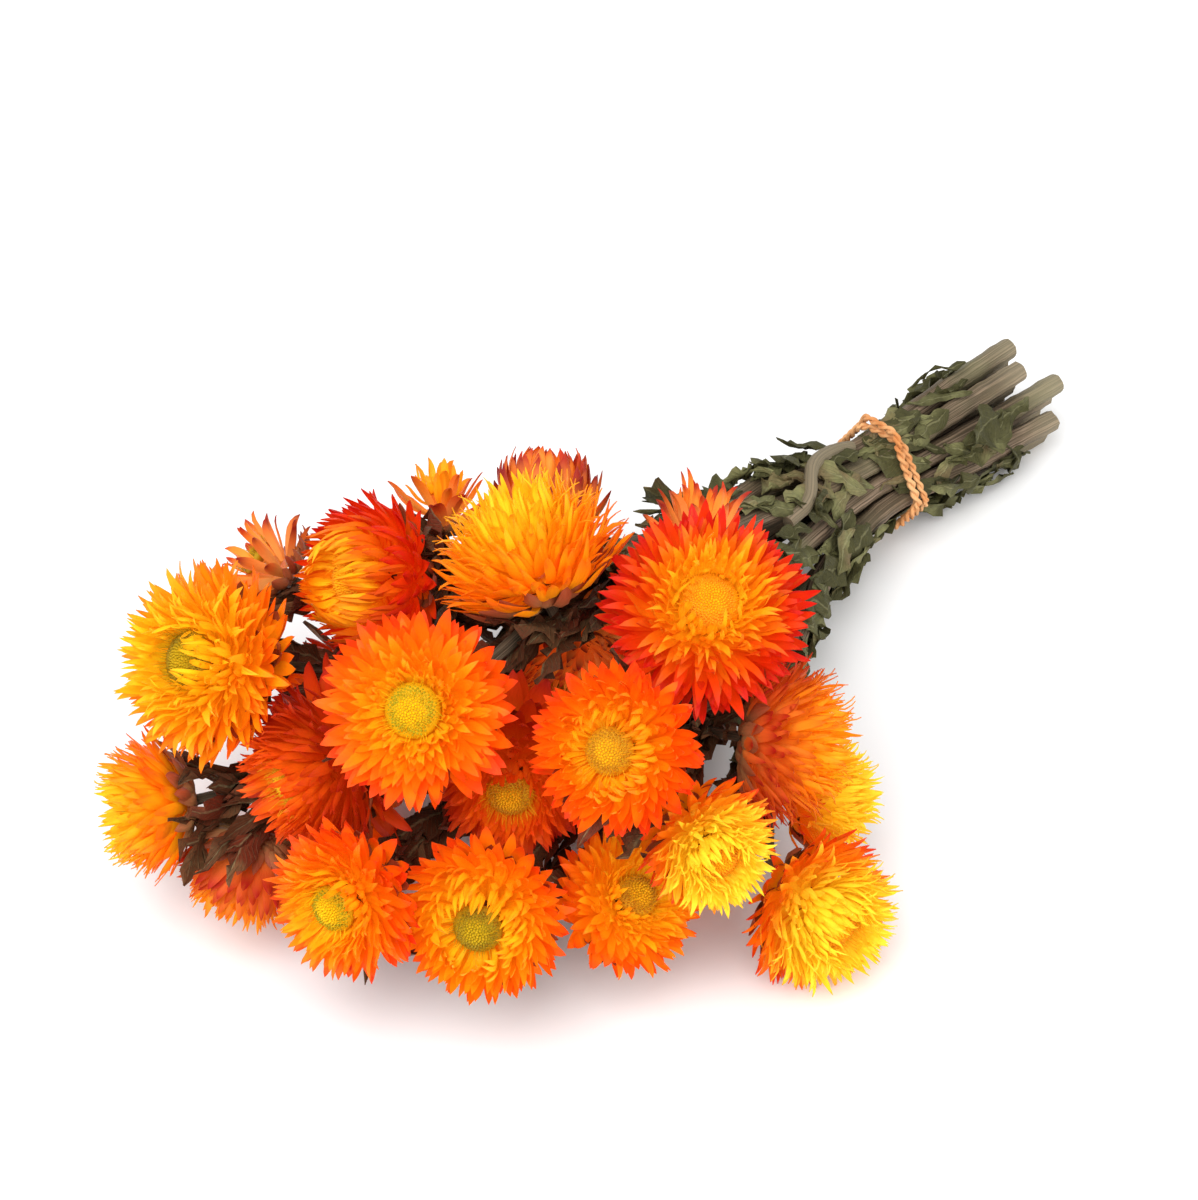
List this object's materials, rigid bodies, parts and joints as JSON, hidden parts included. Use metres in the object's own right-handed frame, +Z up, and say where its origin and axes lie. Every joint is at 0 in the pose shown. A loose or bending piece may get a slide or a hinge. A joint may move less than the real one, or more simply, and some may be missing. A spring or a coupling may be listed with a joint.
{
  "type": "dried strawflower bunch",
  "caption": "Tied bunch of dried strawflowers lying on its side: layered papery blooms in yellow, orange and red on leafy dried stems, bound with a twisted band.",
  "frame": {"origin": "on the surface the bunch lies on, under the middle of its bounding box", "axes": "+X along the bunch towards the cut ends of the stems, blooms at -X, +Z up"},
  "size_m": [0.3657, 0.215, 0.1275],
  "materials": {
    "bracts_yellow": "satin",
    "bracts_orange": "satin",
    "bracts_red": "satin",
    "bracts_rust": "satin",
    "disc": "matte",
    "stem": "matte",
    "tie": "matte"
  },
  "bodies": {
    "root": {"bloom_01": "bracts_yellow", "disc_01": "disc", "bloom_02": "bracts_orange", "disc_02": "disc", "bloom_03": "bracts_yellow", "disc_03": "disc", "bloom_04": "bracts_red", "disc_04": "disc", "bloom_05": "bracts_orange", "disc_05": "disc", "bloom_06": "bracts_red", "disc_06": "disc", "bloom_07": "bracts_rust", "disc_07": "disc", "bloom_08": "bracts_orange", "disc_08": "disc", "bloom_09": "bracts_rust", "bloom_10": "bracts_orange", "disc_10": "disc", "bloom_11": "bracts_orange", "disc_11": "disc", "bloom_12": "bracts_orange", "disc_12": "disc", "bloom_13": "bracts_yellow", "disc_13": "disc", "bloom_14": "bracts_yellow", "disc_14": "disc", "bloom_15": "bracts_orange", "disc_15": "disc", "bloom_16": "bracts_yellow", "disc_16": "disc", "bloom_17": "bracts_yellow", "disc_17": "disc", "bloom_18": "bracts_orange", "disc_18": "disc", "bloom_19": "bracts_orange", "disc_19": "disc", "bloom_20": "bracts_red", "disc_20": "disc", "bloom_21": "bracts_rust", "disc_21": "disc", "bloom_22": "bracts_rust", "bloom_23": "bracts_red", "bloom_24": "bracts_orange", "disc_24": "disc", "bloom_25": "bracts_orange", "disc_25": "disc", "stem_01": "stem", "stem_02": "stem", "stem_03": "stem", "stem_04": "stem", "stem_05": "stem", "stem_06": "stem", "stem_07": "stem", "stem_08": "stem", "stem_09": "stem", "stem_10": "stem", "stem_11": "stem", "stem_12": "stem", "tie": "tie"}
  },
  "joints": []
}
